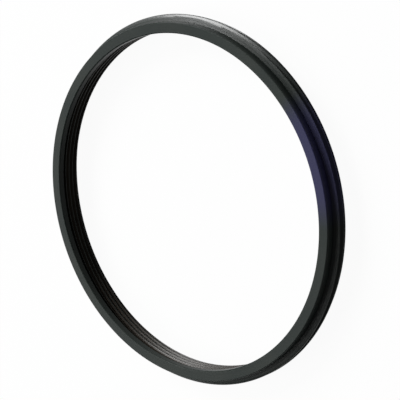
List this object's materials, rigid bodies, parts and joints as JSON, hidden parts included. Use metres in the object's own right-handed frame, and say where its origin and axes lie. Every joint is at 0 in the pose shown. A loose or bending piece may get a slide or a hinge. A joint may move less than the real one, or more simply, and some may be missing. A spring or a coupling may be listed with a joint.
{
  "type": "lens thread adapter",
  "caption": "Thin black ring that joins two lens threads: a male thread outside with a plain pilot band, a female thread inside that ends at a stop lip.",
  "frame": {"origin": "centre of the lower face, where the female thread opens and the ring rests", "axes": "+Z along the ring's axis, out of the plain face with the stop lip; the reference picture is seen from the -Y side, above"},
  "size_m": [0.0549, 0.0549, 0.0044],
  "materials": {
    "black_anodised": "satin black anodised, turned"
  },
  "bodies": {
    "root": {"adapter_ring": "black_anodised"}
  },
  "joints": []
}
